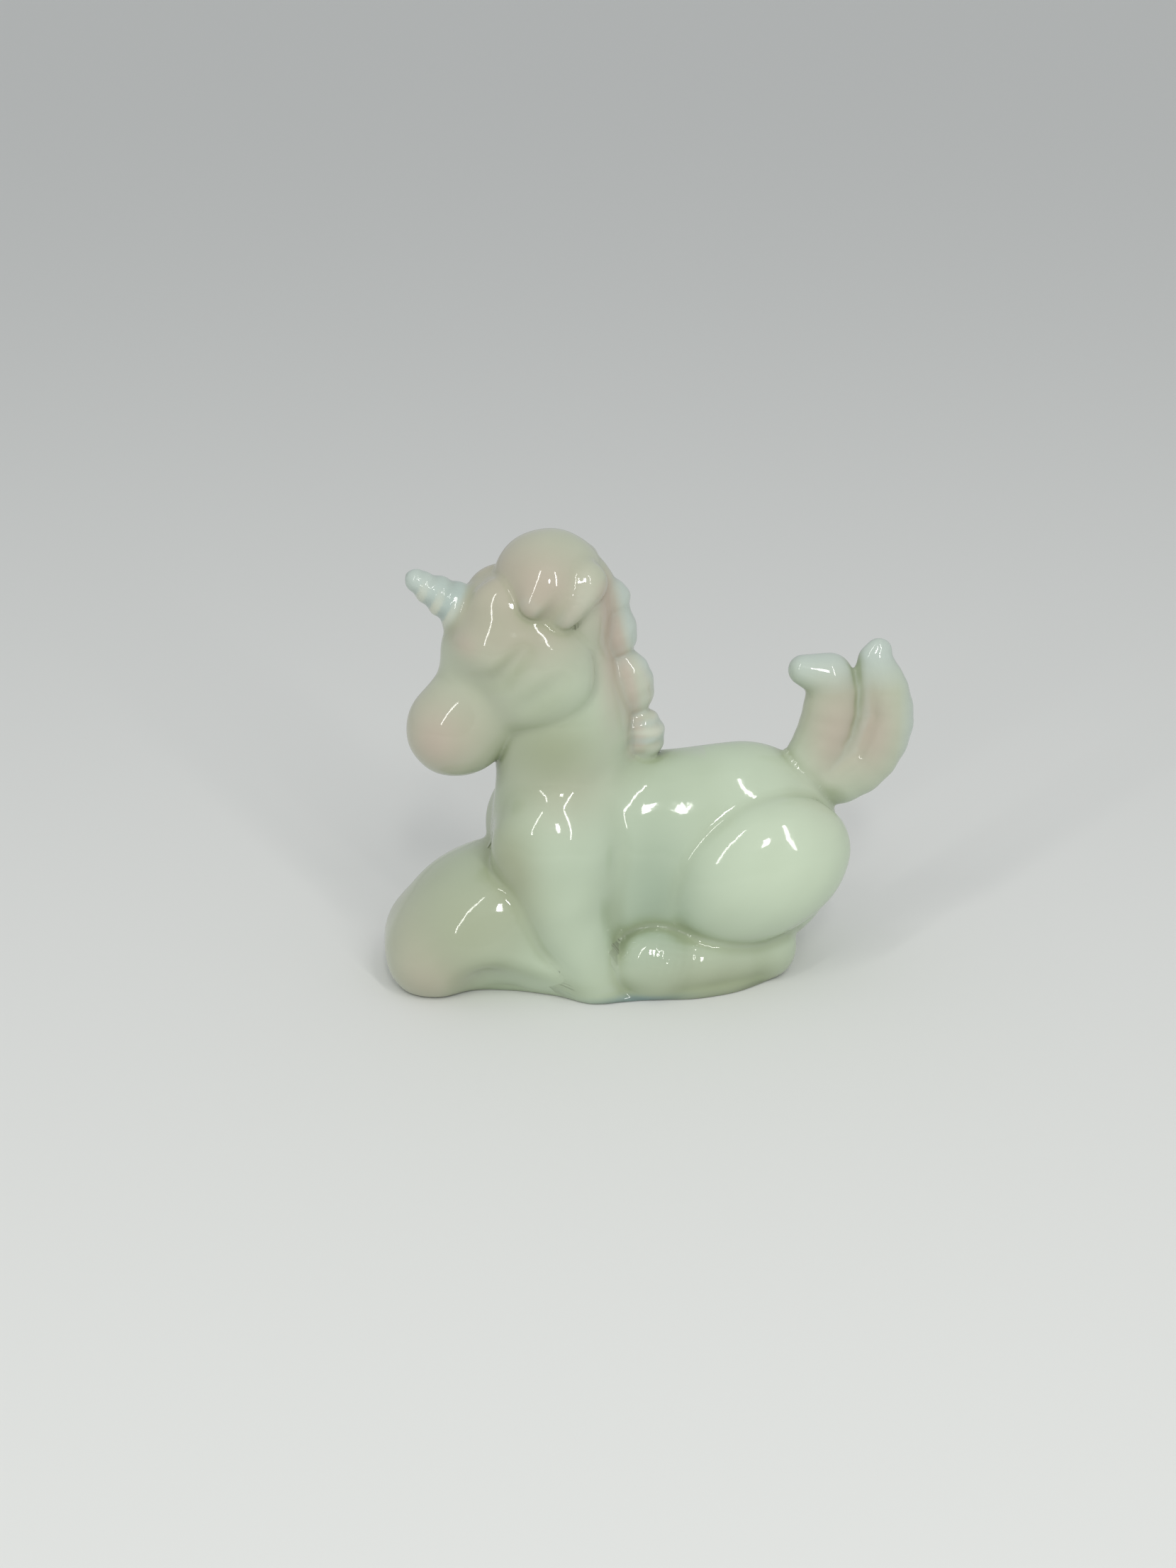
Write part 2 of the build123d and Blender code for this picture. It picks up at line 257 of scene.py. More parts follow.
# Mane, from the poll down the crest
MANE = (
    Lock(-8.2, 59.0, 2.9, 2.9, ripple=0.05),
    Lock(-6.0, 56.4, 3.1, 2.9, ripple=0.05),
    Lock(-5.2, 52.0, 3.3, 4.3, ripple=0.05),
    Lock(-3.0, 43.9, 3.6, 5.0, ripple=0.05),
    Lock(-1.3, 36.2, 3.5, 3.9, ripple=0.10),
)
MANE_HALF_WIDTH = 2.8
MANE_LEAN = 12.0
MANE_BLEND = 0.9
RIPPLE_RATE_X, RIPPLE_RATE_Z = 1.1, 2.3

# Tail
TAIL_REAR_LINE = (
    (25.4, 0.0, 28.2, 4.3),
    (31.5, 0.0, 31.5, 4.7),
    (33.9, 0.0, 37.6, 4.4),
    (33.0, 0.0, 43.3, 3.3),
    (32.8, 0.0, 47.3, 1.95),
)
TAIL_FRONT_LINE = ((22.6, 0.0, 29.4, 3.8), (25.3, 0.0, 35.0, 3.9), (26.3, 0.0, 41.4, 3.7))
TAIL_GROOVE_LINE = (
    (30.6, -2.9, 44.5, 0.5),
    (31.3, -3.0, 38.5, 0.6),
    (29.6, -3.4, 33.0, 0.6),
    (26.5, -3.8, 30.4, 0.5),
)
TAIL_REAR = Row(rounded(TAIL_REAR_LINE, count=12), blend=0.4, flat=0.74)
TAIL_FRONT = Row(rounded(TAIL_FRONT_LINE, count=6), blend=0.4, flat=0.84)
TAIL_CURL = Row(((25.8, 0.0, 43.8, 3.4), (22.0, 0.0, 45.0, 2.2)), blend=1.0, flat=0.95)
TAIL_GROOVE = Groove(Twin(Row(TAIL_GROOVE_LINE, blend=0.5)), blend=1.5)
CURL_BLEND, TAIL_LOCK_BLEND, TAIL_BLEND = 0.8, 1.1, 0.9

# Unevenness of the pressing: waves by their rates in X, Y and Z and their phase, and pits on hooves and ears
WAVES = np.array(
    (
        (0.55, 0.31, 0.42, 0.3),
        (-0.38, 0.62, 0.29, 1.7),
        (0.21, -0.47, 0.66, 4.1),
        (0.93, 0.71, -0.58, 2.6),
        (-0.81, 0.36, 0.97, 5.2),
    ),
    SINGLE,
)
PIT_WAVES = np.array(((3.1, 0.8, 2.0), (-1.9, 1.2, 3.5)), SINGLE)
PIT_DEPTH = 0.05
PIT_ZONES = (((2.0, 12.5, 6.8), (5.2, 5.0, 4.0)), ((-10.5, 7.5, 59.0), (3.0, 3.0, 3.0)))
FLOOR_EDGE_BLEND = 0.7


def zone(p, centre, half):
    """Soft patch, 1 at its centre: e to the power of -1.6 |(p - centre) / half|^2."""
    fall = 1.6
    d2 = (((p - np.asarray(centre, SINGLE)) / np.asarray(half, SINGLE)) ** 2).sum(1)
    return np.exp(-fall * d2)


def side_zone(p, centre, half):
    """Soft patch in X and Z, right through the figure."""
    return zone(p[:, ::2], centre, half)


def add_pair(p, whole, own, pair):
    """The whole with a left form and its mirror image joined on, and the distance to each noted."""
    left, right = distance(p, pair.form), distance(mirror(p), pair.form)
    own[f"left_{pair.name}"], own[f"right_{pair.name}"] = left, right
    return smooth_min(whole, smooth_min(left, right, pair.pair_blend), pair.blend)


def cut(p, whole, groove):
    """The whole without a groove: the smooth maximum of its distance and minus the groove's."""
    return smooth_max(whole, -distance(p, groove.form), groove.blend)


def horn_polar(p):
    """Share along the horn's axis, distance from the axis, and the angle round it from the top."""
    q = p - HORN_ROOT
    share = np.clip(q @ HORN_WAY / HORN_LENGTH, 0.0, 1.0)
    across = q - (share * HORN_LENGTH)[:, None] * HORN_WAY
    return share, np.sqrt((across * across).sum(1)), np.arctan2(q[:, 1], q @ HORN_UP)


def helix(share, angle):
    """The horn's twist: 1 on its ridge and -1 in its groove, cos(angle - turns 2 pi share)."""
    return np.cos(angle - 2.0 * np.pi * HORN_TURNS * share)


def horn_distance(p):
    """A blunt cone whose radius, root + (tip - root) share, swells along the helix, less towards the tip."""
    share, reach, angle = horn_polar(p)
    swell = HORN_SWELL * (1.0 - HORN_SWELL_LOSS_SHARE * share) * helix(share, angle)
    return reach - HORN_ROOT_RADIUS - (HORN_TIP_RADIUS - HORN_ROOT_RADIUS) * share - swell


def lock_distance(p, lock):
    """An ellipsoid along the crest with a fine ripple: plus height sin(rate_z dz - rate_x dx)."""
    centre, half = (lock.x, 0.0, lock.z), (lock.radius, MANE_HALF_WIDTH, lock.half_length)
    wave = np.sin(RIPPLE_RATE_Z * (p[:, 2] - lock.z) - RIPPLE_RATE_X * (p[:, 0] - lock.x))
    return distance(p, Oval(centre, half, lean=MANE_LEAN)) + lock.ripple * wave


def body_distance(p, own):
    """Smooth union of trunk, neck and limbs, less the recess under the shank and the shoulder's crease."""
    own["trunk"], own["neck"] = distance(p, TRUNK), distance(p, NECK)
    body = smooth_min(own["trunk"], own["neck"], NECK_BLEND)
    for pair in LIMBS:
        body = add_pair(p, body, own, pair)
    return cut(p, cut(p, body, SHANK_RECESS), SHOULDER_CREASE)


def head_distance(p, own):
    """Smooth union of head, cheeks and eyelids, less the creases of cheek and eye."""
    own["head"] = distance(p, HEAD)
    head = cut(p, add_pair(p, own["head"], own, CHEEKS), CHEEK_CREASE)
    return cut(p, add_pair(p, head, own, EYELIDS), EYE_CREASE)


def tail_distance(p, own):
    """Smooth union of the two locks and the curl, less the groove between the locks."""
    own["tail_rear_lock"], own["tail_front_lock"] = distance(p, TAIL_REAR), distance(p, TAIL_FRONT)
    own["tail_curl"] = distance(p, TAIL_CURL)
    front = smooth_min(own["tail_front_lock"], own["tail_curl"], CURL_BLEND)
    return cut(p, smooth_min(own["tail_rear_lock"], front, TAIL_LOCK_BLEND), TAIL_GROOVE)


def waves(p, height):
    """Waviness of the pressing: the height times the mean of the waves' sines."""
    return height * np.sin(p @ WAVES[:, :3].T + WAVES[:, 3]).sum(1) / len(WAVES)


def pits(p):
    """Pits on both hind hooves and ears: depth zones sin(a p) sin(b p), with a and b the two pit waves."""
    folded = np.column_stack((p[:, 0], np.abs(p[:, 1]), p[:, 2]))
    pitted = sum(zone(folded, centre, half) for centre, half in PIT_ZONES)
    return PIT_DEPTH * pitted * np.sin(p @ PIT_WAVES[0]) * np.sin(p @ PIT_WAVES[1])


def figure_field(p, wave):
    """The figure's distance at the points p, and the distance to each piece's own form.

    It is the smooth union of all forms plus the unevenness, cut flat at the floor.
    """
    own = {}
    body = body_distance(p, own)
    whole = smooth_min(body, head_distance(p, own), HEAD_BLEND)
    own["forelock"] = distance(p, FORELOCK)
    whole = smooth_min(whole, own["forelock"], HEAD_BLEND)
    whole = cut(p, add_pair(p, whole, own, EARS), EAR_CREASE)
    for number, lock in enumerate(MANE, start=1):
        own[f"mane_lock_{number}"] = lock_distance(p, lock)
        whole = smooth_min(whole, own[f"mane_lock_{number}"], MANE_BLEND)
    whole = smooth_min(whole, tail_distance(p, own), TAIL_BLEND)
    own["horn"] = horn_distance(p)
    whole = smooth_min(whole, own["horn"], HORN_BLEND) + waves(p, wave) + pits(p)
    return smooth_max(whole, -p[:, 2], FLOOR_EDGE_BLEND), own


# Surface mesh

GRID_LOW, GRID_HIGH = np.array((-41.0, -17.5, -1.5)), np.array((41.0, 17.5, 70.0))
COARSE_STEPS = 3
NEAR_CELLS = 2.2
CORNERS = [(i, j, k) for i in (0, 1) for j in (0, 1) for k in (0, 1)]
SETTLE_ROUNDS = 2
SLOPE_REACH, SOFT_REACH = 0.04, 0.6
CREASE_REACHES = (0.7, 3.0)
THIN_DEPTH = 3.5
Skin = collections.namedtuple("Skin", "vertices quads normals soft tint names piece")


def field_slope(p, wave, reach=SLOPE_REACH):
    """The field's value and gradient at p, from four points of a small tetrahedron."""
    corners = np.array(((1, -1, -1), (-1, -1, 1), (-1, 1, -1), (1, 1, 1)), SINGLE)
    values = [figure_field(p + reach * corner, wave)[0] for corner in corners]
    slope = sum(value[:, None] * corner for value, corner in zip(values, corners)) / (4.0 * reach)
    return sum(values) / 4.0, slope


def unit(vectors):
    """The vectors, each divided by its length."""
    return vectors / (np.linalg.norm(vectors, axis=1)[:, None] + LEAST_LENGTH)


def sample_grid(step, wave):
    """The field on a fine grid and the grid's first corner.

    A grid of three times the step finds the surface, and only the points near it are worked out finely.
    Each coarse point stands for itself and for the fine points one step to either side.
    """
    coarse = COARSE_STEPS * step
    counts = np.ceil((GRID_HIGH - GRID_LOW) / coarse).astype(int) + 1
    axes = [low + coarse * np.arange(count) for low, count in zip(GRID_LOW, counts)]
    points = np.stack(np.meshgrid(*axes, indexing="ij"), -1).reshape(-1, 3).astype(SINGLE)
    values = figure_field(points, wave)[0].reshape(counts)
    for axis in range(3):
        values = np.repeat(values, COARSE_STEPS, axis=axis)
    near = np.argwhere(np.abs(values) < NEAR_CELLS * coarse)
    values[tuple(near.T)] = figure_field((GRID_LOW + step * (near - 1)).astype(SINGLE), wave)[0]
    return values, GRID_LOW - step


def crossed_cells(inside):
    """The cells with corners on both sides of the surface, and a grid that holds the number of each."""
    shape = np.array(inside.shape) - 1
    windows = [tuple(slice(start, start + size) for start, size in zip(corner, shape)) for corner in CORNERS]
    count = sum(inside[window].astype(np.int8) for window in windows)
    cells = np.argwhere((count > 0) & (count < len(CORNERS)))
    number = np.full(shape, -1, np.int64)
    number[tuple(cells.T)] = np.arange(len(cells))
    return cells, number


def cell_vertices(values, cells):
    """One vertex in each cell: the mean of the spots, in cells, where its edges cross the surface."""
    total, hits = np.zeros((len(cells), 3)), np.zeros(len(cells))
    for start in CORNERS:
        for axis in range(3):
            if start[axis]:
                continue
            end = tuple(1 if i == axis else start[i] for i in range(3))
            low = values[tuple((cells + start).T)].astype(float)
            high = values[tuple((cells + end).T)].astype(float)
            cross = (low < 0) != (high < 0)
            spot = np.repeat(np.array(start, float)[None], len(cells), 0)
            spot[:, axis] += np.where(cross, low / np.where(cross, low - high, 1.0), 0.0)
            total += spot * cross[:, None]
            hits += cross
    return cells + total / hits[:, None]


def cell_quads(inside, number):
    """A quad through the four cells round each grid edge that crosses the surface, facing outwards."""
    quads = []
    for axis in range(3):
        u, v = (axis + 1) % 3, (axis + 2) % 3
        low, high = [slice(None)] * 3, [slice(None)] * 3
        low[axis], high[axis] = slice(0, -1), slice(1, None)
        before, after = inside[tuple(low)], inside[tuple(high)]
        for sign, where in ((1, before & ~after), (-1, ~before & after)):
            at = np.argwhere(where)
            at = at[(at[:, u] > 0) & (at[:, v] > 0)]
            ring = []
            for du, dv in ((1, 1), (0, 1), (0, 0), (1, 0)):
                cell = at.copy()
                cell[:, u] -= du
                cell[:, v] -= dv
                ring.append(number[tuple(cell.T)])
            quads.append(np.stack(ring[::sign], 1))
    return np.concatenate(quads)


@functools.cache
def figure_skin(step, wave, tone):
    """The whole figure's mesh in millimetres, moved onto the surface, with its tints and each quad's piece.

    A quad belongs to the piece whose own form is nearest to it.
    """
    values, origin = sample_grid(step, wave)
    cells, number = crossed_cells(values < 0)
    vertices = (origin + step * cell_vertices(values, cells)).astype(SINGLE)
    quads = cell_quads(values < 0, number)
    for _ in range(SETTLE_ROUNDS):
        value, slope = field_slope(vertices, wave)
        move = value / (slope * slope).sum(1)
        vertices = vertices - np.clip(move, -step, step)[:, None] * slope
    normals = unit(field_slope(vertices, wave)[1])
    soft = unit(field_slope(vertices, wave, reach=SOFT_REACH)[1])
    own = figure_field(vertices, wave)[1]
    # The field outside gives the creases' depth, for the painted crease shade
    outside = [figure_field(vertices + SINGLE(reach) * normals, wave)[0] / reach for reach in CREASE_REACHES]
    # Thinness, for the painted glow of thin edges
    thin = 1.0 + figure_field(vertices - SINGLE(THIN_DEPTH) * normals, wave)[0] / THIN_DEPTH
    tint = glass_tint(vertices, crease_share(*outside), thin, own, tone)
    names = list(own)
    piece = np.stack([own[name] for name in names])[:, quads].mean(2).argmin(0)
    return Skin(vertices, quads, normals, soft, tint, names, piece)


# Tints of the glass

Palette = collections.namedtuple(
    "Palette", "green beige pink opal cream olive moss fern pearl teal milk shade"
)
# Soft patches in the order they are laid on: the tone, then share, centre and half sizes in X and Z
PATCHES = (
    ("beige", (1.3, (-19, 58), (17, 12)), (0.9, (-28, 39), (11, 10))),
    ("beige", (0.6, (-13, 32), (9, 6)), (0.9, (-34, 6), (9, 12))),
    ("beige", (0.9, (29, 38), (11, 13))),
    # Moss paints shade on the front of the neck and on the knees
    ("moss", (0.95, (-15, 37), (9, 8)), (0.85, (-27, 12), (11, 10))),
    # Fern paints bluish-green shade in the hollow of the flank
    ("fern", (0.9, (0, 15), (7, 13))),
    # Moss paints shade on the chest and along the bottom
    ("moss", (1.1, (-21, 20), (5, 10))),
    ("moss", (0.85, (8, 2), (18, 7))),
    ("olive", (0.2, (-14, 38), (7, 6)), (0.13, (-16, 46), (6, 5))),
    # Paints light on the haunches
    ("milk", (0.65, (18, 20), (13, 11))),
    ("pink", (0.7, (-31, 38), (5, 6)), (0.5, (-16, 61), (7, 6))),
    ("pink", (0.6, (26, 36), (4, 8)), (0.6, (32, 36), (3.5, 7))),
    ("pink", (0.75, (-5.5, 50), (3, 12)), (0.3, (-32, 3), (6, 5))),
)
# The crest's line, and the mane's limits with the length over which it fades there
CREST_HEIGHTS, CREST_PLACES = (33, 37, 45, 52, 56, 61), (-2.6, -2.6, -4.0, -6.2, -7.0, -8.0)
MANE_LOW, MANE_LOW_FADE = 33.0, 1.5
MANE_HIGH, MANE_HIGH_FADE = 61.5, 2.5
MANE_FRONT, MANE_FRONT_FADE = -10.5, 2.0
MANE_BACK = 8.0
BLUSH_REACH, BLUSH_WIDTH = 0.7, 1.5
PEARL_REACH, PEARL_FADE = 1.6, 1.6
RIM_HEIGHTS, RIM_REACHES, RIM_FADE = (44, 50), (3.4, 1.8), 1.4
BAND_HEIGHT, BAND_PITCH, BAND_ZONE = 37.3, 2.5, ((-0.4, 36.6), (3.4, 3.6))
TAIL_TIP_HEIGHT, TAIL_TIP_FADE, TAIL_TIP_FRONT = 42.0, 5.0, 15.0
TAIL_BACK, TAIL_BACK_FADE = 35.4, 2.4
HORN_EDGE_FADE = 0.8
HORN_FOOT_SHARE, HORN_FOOT_FADE_SHARE = 0.30, 0.14
HORN_END_SHARE, HORN_END_FADE_SHARE = 0.62, 0.3
HORN_FOOT_ZONE = ((-26.4, 52.6), (2.4, 2.2))
RIDGE_LEVEL, RIDGE_GAIN = 0.5, 1.6
BELOW_LEVEL, BELOW_GAIN = 0.55, 0.9
THIN_FROM_SHARE, THIN_FLOOR = 0.25, 2.0
EAR_ZONE = ((-10.0, 59.0), (2.8, 4.0))
CHIN_ZONE = ((-22.5, 42.0), (5, 5))
BROW_ZONE = ((-26.0, 55.0), (3.2, 4.0))
FLOOR_EDGE_ZONE = ((-3.0, -13.0, 0.4), (8.0, 3.0, 0.9))
CREASE_MOST_SHARE = 0.6
TINT_SHARES = {
    "mane_pink": 0.8,
    "mane_pearl": 0.8,
    "mane_opal": 0.9,
    "band_light": 0.9,
    "band_shade": 0.7,
    "tail_tip": 0.9,
    "tail_back": 0.8,
    "horn_end": 0.8,
    "horn_ridge": 0.9,
    "horn_foot": 0.5,
    "thin_edge_glow": 0.6,
    "ear": 0.4,
    "floor_edge": 0.7,
}
# How much of the painted crease shade is kept away from these places
CALM_SHARES = {"chin": 0.6, "mane": 0.8, "horn": 0.9, "brow": 0.8}


def mix(colour, other, share):
    """The colours turned towards another by a share at each point: colour + (other - colour) share."""
    return colour + (np.asarray(other) - colour) * np.clip(share, 0.0, 1.0)[:, None]


def ramp(value, start, length):
    """0 up to the start, rising evenly to 1 over the length, downwards where the length is negative."""
    return np.clip((value - start) / length, 0.0, 1.0)


def crease_share(narrow, wide):
    """Depth of the creases, which sets the painted crease shade, from the field at a small and a large reach
    outside, each over its reach.

    On a flat face the field there is the reach itself, and in a crease it is less.
    """
    narrow_gain, wide_gain, wide_loss = 0.9, 0.6, 0.05
    return np.clip(narrow_gain * (1.0 - narrow), 0, 1) + np.clip(wide_gain * (1.0 - wide) - wide_loss, 0, 1)


def mane_place(p):
    """Reach behind the crest's line, and the share in the mane: the product of ramps at its limits."""
    x, z = p[:, 0], p[:, 2]
    reach = x - np.interp(z, CREST_HEIGHTS, CREST_PLACES)
    upright = ramp(z, MANE_LOW, MANE_LOW_FADE) * ramp(z, MANE_HIGH, -MANE_HIGH_FADE)
    return reach, upright * ramp(x, MANE_FRONT, MANE_FRONT_FADE) * (x < MANE_BACK)


def mane_tint(p, colour, tone):
    """Pink at the mane's foot, then pearl and opal by reach, and bands of painted light and shade on its
    lowest lock.

    The painted light is cream where cos(2 pi dz / pitch) is above 0, and the painted shade is teal where it
    is below.
    """
    reach, share = mane_place(p)
    blush = np.exp(-(((reach - BLUSH_REACH) / BLUSH_WIDTH) ** 2))
    rim = np.interp(p[:, 2], RIM_HEIGHTS, RIM_REACHES)
    band = np.cos(2.0 * np.pi * (p[:, 2] - BAND_HEIGHT) / BAND_PITCH) * side_zone(p, *BAND_ZONE) * share
    colour = mix(colour, tone.pink, TINT_SHARES["mane_pink"] * share * blush)
    colour = mix(colour, tone.pearl, TINT_SHARES["mane_pearl"] * share * ramp(reach, PEARL_REACH, PEARL_FADE))
    colour = mix(colour, tone.opal, TINT_SHARES["mane_opal"] * share * ramp(reach, rim, RIM_FADE))
    # Bands of painted light in cream and painted shade in teal
    colour = mix(colour, tone.cream, TINT_SHARES["band_light"] * band)
    return mix(colour, tone.teal, -TINT_SHARES["band_shade"] * band)


def tail_tint(p, colour, tone):
    """Opal that rises evenly towards the tail's tips and towards its back."""
    tip = ramp(p[:, 2], TAIL_TIP_HEIGHT, TAIL_TIP_FADE) * (p[:, 0] > TAIL_TIP_FRONT)
    colour = mix(colour, tone.opal, TINT_SHARES["tail_tip"] * tip)
    return mix(colour, tone.opal, TINT_SHARES["tail_back"] * ramp(p[:, 0], TAIL_BACK, TAIL_BACK_FADE))


def horn_share(p, own):
    """Share in the horn: a ramp at its surface times a ramp along its axis."""
    along = ramp(horn_polar(p)[0], HORN_FOOT_SHARE, HORN_FOOT_FADE_SHARE)
    return ramp(own["horn"], HORN_EDGE_FADE, -HORN_EDGE_FADE) * along


def horn_tint(p, colour, own, tone):
    """Teal, opal towards the tip, cream on the helix's ridges below, and a blush round the horn's foot."""
    share, _, angle = horn_polar(p)
    horn = horn_share(p, own)
    ridge = np.clip(RIDGE_LEVEL + RIDGE_GAIN * helix(share, angle), 0, 1)
    below = np.clip(BELOW_LEVEL - BELOW_GAIN * np.cos(angle), 0, 1)
    end = ramp(share, HORN_END_SHARE, HORN_END_FADE_SHARE)
    colour = mix(colour, tone.teal, horn)
    colour = mix(colour, tone.opal, TINT_SHARES["horn_end"] * horn * end)
    colour = mix(colour, tone.cream, TINT_SHARES["horn_ridge"] * horn * ridge * below)
    foot = side_zone(p, *HORN_FOOT_ZONE) * (1.0 - horn)
    return mix(colour, tone.pink, TINT_SHARES["horn_foot"] * foot)


def crease_shade_tint(p, colour, crease, own, tone):
    """Painted shade in the creases: olive by the creases' depth, less where the product of (1 - share place)
    calms it.
    """
    places = {
        "chin": side_zone(p, *CHIN_ZONE),
        "mane": mane_place(p)[1],
        "horn": horn_share(p, own),
        "brow": side_zone(p, *BROW_ZONE),
    }
    calm = np.prod([1.0 - CALM_SHARES[name] * place for name, place in places.items()], axis=0)
    return mix(colour, tone.olive, np.clip(crease, 0, CREASE_MOST_SHARE) * calm)


def glass_tint(p, crease, thin, own, tone):
    """The glass's colour at each point, mixed in turn from the patches, some of them painted shade and light,
    to the painted glow of thin edges, the painted crease shade and the lower edge's shade.
    """
    colour = np.repeat(np.array(tone.green)[None], len(p), 0)
    for name, *patches in PATCHES:
        share = sum(most * side_zone(p, centre, half) for most, centre, half in patches)
        colour = mix(colour, getattr(tone, name), share)
    colour = mane_tint(p, colour, tone)
    colour = tail_tint(p, colour, tone)
    colour = horn_tint(p, colour, own, tone)
    # Painted glow of light through thin glass, in opal
    edge = np.clip(thin - THIN_FROM_SHARE, 0, 1) * (p[:, 2] > THIN_FLOOR)
    colour = mix(colour, tone.opal, TINT_SHARES["thin_edge_glow"] * edge)
    colour = mix(colour, tone.cream, TINT_SHARES["ear"] * side_zone(p, *EAR_ZONE))
    # Painted shade in the creases, in olive
    colour = crease_shade_tint(p, colour, crease, own, tone)
    return mix(colour, tone.shade, TINT_SHARES["floor_edge"] * zone(p, *FLOOR_EDGE_ZONE))


# Pieces


def closed_patch(skin, quads):
    """The patch's points, its quads on them, and a fan of triangles from its rim to a point inside.

    An edge without its reverse is on the rim. The point is the points' mean less their mean normal.
    """
    used, local = np.unique(quads, return_inverse=True)
    local = local.reshape(quads.shape)
    edges = np.stack([local, np.roll(local, -1, 1)], -1).reshape(-1, 2)
    key = edges[:, 0] * len(used) + edges[:, 1]
    back = edges[:, 1] * len(used) + edges[:, 0]
    rim = edges[~np.isin(key, back)]
    apex = skin.vertices[used].mean(0) - skin.normals[used].mean(0)
    fan = np.column_stack([rim[:, 1], rim[:, 0], np.full(len(rim), len(used))])
    return used, local, fan, apex


def face_mesh(name, points, quads, triangles):
    """A smooth mesh of quads and then triangles on the given points."""
    mesh = bpy.data.meshes.new(name)
    loops = np.concatenate([quads.ravel(), triangles.ravel()])
    starts = np.concatenate([4 * np.arange(len(quads)), quads.size + 3 * np.arange(len(triangles))])
    mesh.vertices.add(len(points))
    mesh.vertices.foreach_set("co", points.astype(SINGLE).ravel())
    mesh.loops.add(len(loops))
    mesh.loops.foreach_set("vertex_index", loops.astype(np.int32))
    mesh.polygons.add(len(starts))
    mesh.polygons.foreach_set("loop_start", starts.astype(np.int32))
    mesh.update(calc_edges=True)
    mesh.polygons.foreach_set("use_smooth", np.ones(len(starts), bool))
    return mesh


def point_attribute(mesh, name, kind, field, rows):
    """Stores one row of numbers for each point of the mesh."""
    attribute = mesh.attributes.new(name, kind, "POINT")
    attribute.data.foreach_set(field, rows.astype(SINGLE).ravel())


def add_piece(name, skin, material):
    """One named piece: its share of the skin, closed inside, with the skin's own normals and tints."""
    mine = skin.quads[skin.piece == skin.names.index(name)]
    if not len(mine):
        raise RuntimeError(f"no surface for {name}")
    used, local, fan, apex = closed_patch(skin, mine)
    points = np.vstack([skin.vertices[used], apex]) * MM
    mesh = face_mesh(f"{name}_glass", points, local, fan)
    colour = np.vstack([skin.tint[used], skin.tint[used].mean(0)])
    point_attribute(mesh, "tint", "FLOAT_COLOR", "color", np.column_stack([colour, np.ones(len(colour))]))
    point_attribute(mesh, "soft", "FLOAT_VECTOR", "vector", np.vstack([skin.soft[used], skin.soft[used[:1]]]))
    corners = points[fan]
    flat = unit(np.cross(corners[:, 1] - corners[:, 0], corners[:, 2] - corners[:, 0]))
    corner_normals = np.vstack([skin.normals[used][local.ravel()], np.repeat(flat, 3, 0)])
    mesh.normals_split_custom_set(corner_normals.tolist())
    mesh.materials.append(material)
    mesh.validate()
    obj = bpy.data.objects.new(f"{name}_glass", mesh)
    bpy.context.scene.collection.objects.link(obj)
    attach(obj, "root")
    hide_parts(name)


# Finish: matt milky glass under a clear coat, whose normal is stirred by a fine grain
UNDER_ROUGHNESS = 0.8
COAT_IOR = 1.52
GRAIN_SCALE, GRAIN_DETAIL = 500.0, 2.0
GRAIN_STRENGTH, GRAIN_DEPTH = 0.5, 0.05 * MM


def grain_normal(nodes, links):
    """Output of a bump node that reads noise on Object coordinates."""
    place = nodes.new("ShaderNodeTexCoord")
    grain = nodes.new("ShaderNodeTexNoise")
    grain.inputs["Scale"].default_value = GRAIN_SCALE
    grain.inputs["Detail"].default_value = GRAIN_DETAIL
    links.new(place.outputs["Object"], grain.inputs["Vector"])
    bump = nodes.new("ShaderNodeBump")
    bump.inputs["Strength"].default_value = GRAIN_STRENGTH
    bump.inputs["Distance"].default_value = GRAIN_DEPTH
    links.new(grain.outputs["Fac"], bump.inputs["Height"])
    return bump.outputs["Normal"]


def soft_normal(nodes, links):
    """Output that turns the stored soft normal from the piece's own axes to the world's."""
    soft = nodes.new("ShaderNodeAttribute")
    soft.attribute_name = "soft"
    turn = nodes.new("ShaderNodeVectorTransform")
    turn.vector_type, turn.convert_from, turn.convert_to = "NORMAL", "OBJECT", "WORLD"
    links.new(soft.outputs["Vector"], turn.inputs["Vector"])
    return turn.outputs["Vector"]


def glass_material(slot, settings):
    """Glossy milky glass: the stored tint, shaded softly as if light spread in it, under the clear coat."""
    name = f"milky_{slot}"
    if name in bpy.data.materials:
        return bpy.data.materials[name]
    material = bpy.data.materials.new(name)
    material.use_nodes = True
    nodes, links = material.node_tree.nodes, material.node_tree.links
    shader = nodes["Principled BSDF"]
    shader.inputs["Roughness"].default_value = UNDER_ROUGHNESS
    shader.inputs["Specular IOR Level"].default_value = 0.0
    shader.inputs["Coat Weight"].default_value = 1.0
    shader.inputs["Coat Roughness"].default_value = settings.roughness
    shader.inputs["Coat IOR"].default_value = COAT_IOR
    tint = nodes.new("ShaderNodeAttribute")
    tint.attribute_name = "tint"
    links.new(tint.outputs["Color"], shader.inputs["Base Color"])
    links.new(grain_normal(nodes, links), shader.inputs["Coat Normal"])
    links.new(soft_normal(nodes, links), shader.inputs["Normal"])
    return material


def build(settings, slot, names):
    """Adds the named pieces in one finish."""
    step = settings.step / MM
    tone = Palette(*(tuple(getattr(settings, name)) for name in Palette._fields))
    skin = figure_skin(step, settings.wave / MM, tone)
    material = glass_material(slot, settings)
    for name in names:
        add_piece(name, skin, material)


def both_sides(*forms):
    """Names of the left and the right piece of each form."""
    return [f"{side}_{form}" for form in forms for side in ("left", "right")]


# Settings


def tint_setting(name, description, colour):
    """A colour that the user can change."""
    return bpy.props.FloatVectorProperty(
        name=name, description=description, default=colour, subtype="COLOR", min=0.0, max=1.0
    )


def number_setting(name, description, default, **kind):
    """A number that the user can change, in the unit or of the subtype given."""
    return bpy.props.FloatProperty(name=name, description=description, default=default, **kind)


